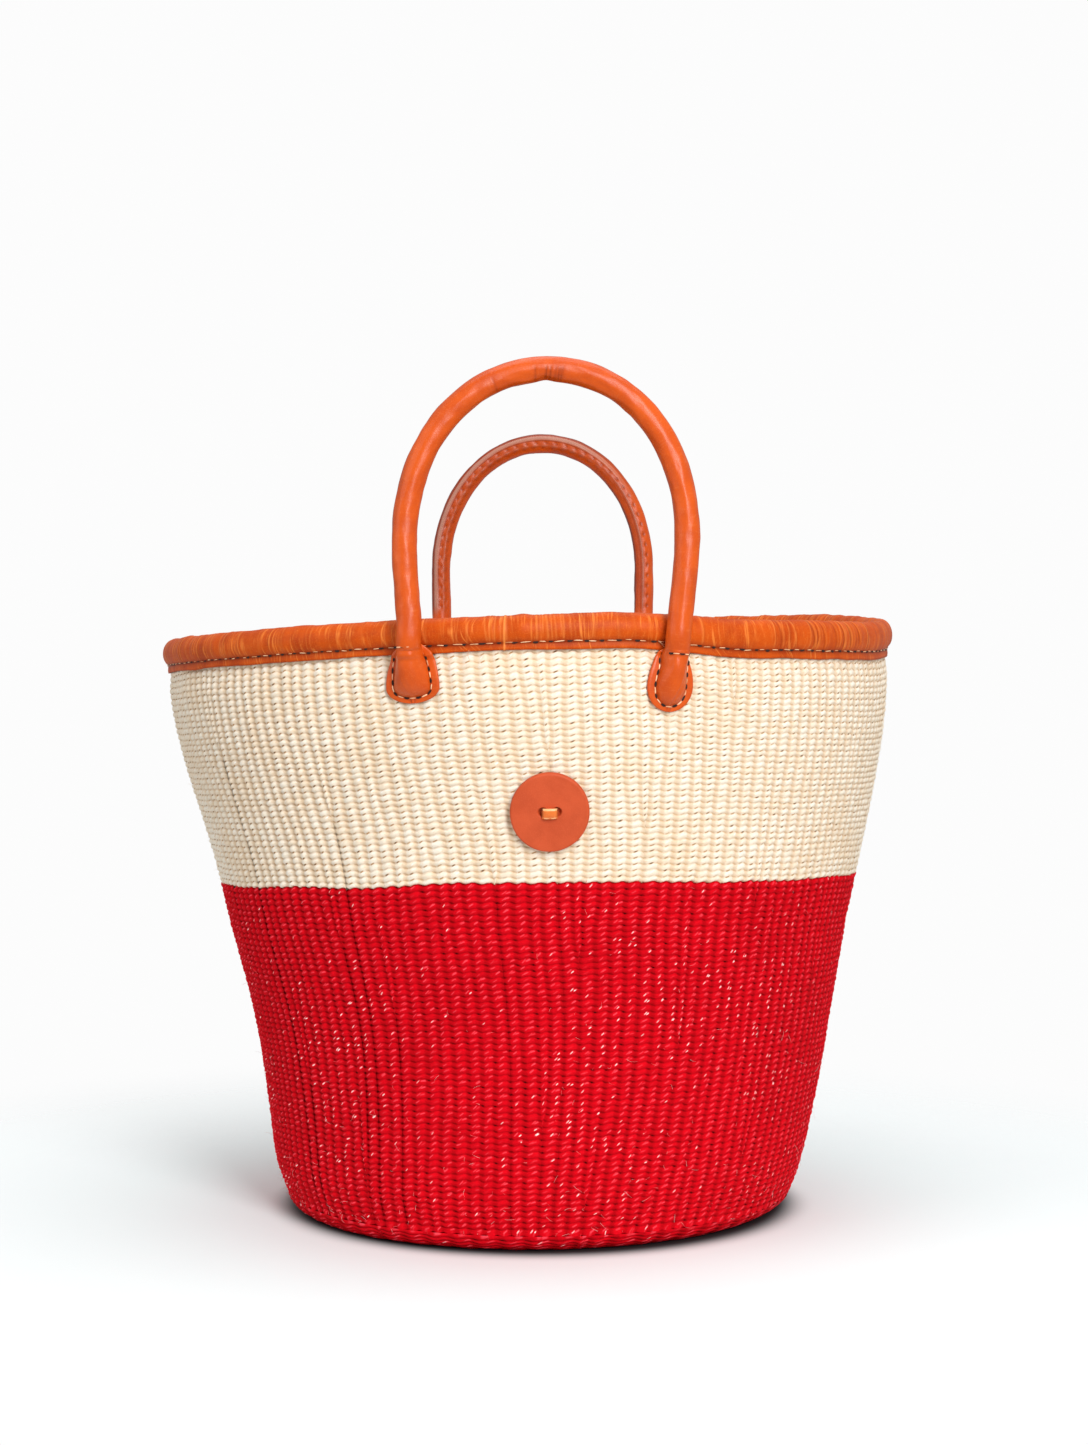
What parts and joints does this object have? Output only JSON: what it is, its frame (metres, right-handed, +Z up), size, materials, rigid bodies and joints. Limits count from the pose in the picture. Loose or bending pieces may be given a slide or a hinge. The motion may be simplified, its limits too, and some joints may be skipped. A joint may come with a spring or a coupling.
{
  "type": "woven tote basket",
  "caption": "Round sisal tote basket in cream over red, with a leather-bound rim, rolled leather handles that fold at the rim and a leather button.",
  "frame": {"origin": "middle of the woven base, on the floor that the basket stands on", "axes": "+Z up, -Y to the front, the side with the button, and +X to the right as seen from the front"},
  "size_m": [0.4205, 0.4311, 0.4714],
  "materials": {
    "cream_sisal": "matte",
    "red_sisal": "matte",
    "rope": "matte",
    "handle_leather": "satin",
    "rim_leather": "satin",
    "button_leather": "matte",
    "lace_leather": "satin"
  },
  "bodies": {
    "root": {"woven_base": "red_sisal", "base_turn_course": "red_sisal", "red_wall": "red_sisal", "cream_wall": "cream_sisal", "rim_binding": "rim_leather", "rim_core": "rope", "front_left_tab": "handle_leather", "front_left_rope_end": "rope", "front_left_neck": "handle_leather", "front_left_backing_patch": "rim_leather", "front_right_tab": "handle_leather", "front_right_rope_end": "rope", "front_right_neck": "handle_leather", "front_right_backing_patch": "rim_leather", "rear_left_tab": "handle_leather", "rear_left_rope_end": "rope", "rear_left_neck": "handle_leather", "rear_left_backing_patch": "rim_leather", "rear_right_tab": "handle_leather", "rear_right_rope_end": "rope", "rear_right_neck": "handle_leather", "rear_right_backing_patch": "rim_leather"},
    "front_handle": {"front_handle_cover": "handle_leather", "front_handle_core": "rope"},
    "rear_handle": {"rear_handle_cover": "handle_leather", "rear_handle_core": "rope"},
    "button_set": {"button": "button_leather", "button_washer": "rim_leather", "button_lace": "lace_leather"}
  },
  "joints": [
    {"name": "front_handle_fold", "type": "hinge", "parent": "root", "child": "front_handle", "pos_m": [0.0035, -0.20617, 0.33139], "axis": [0.9988, 0.0484, 0], "range_deg": [-40, 110], "deforming": ["front_left_neck", "front_right_neck"]},
    {"name": "rear_handle_fold", "type": "hinge", "parent": "root", "child": "rear_handle", "pos_m": [0.0019, 0.20605, 0.34283], "axis": [-0.9992, 0.0407, 0], "range_deg": [-40, 110], "deforming": ["rear_left_neck", "rear_right_neck"]},
    {"name": "button_twist", "type": "hinge", "parent": "root", "child": "button_set", "pos_m": [0.0058, -0.19274, 0.2331], "axis": [0.0414, -0.9657, -0.2564], "range_deg": [-15, 15]}
  ]
}
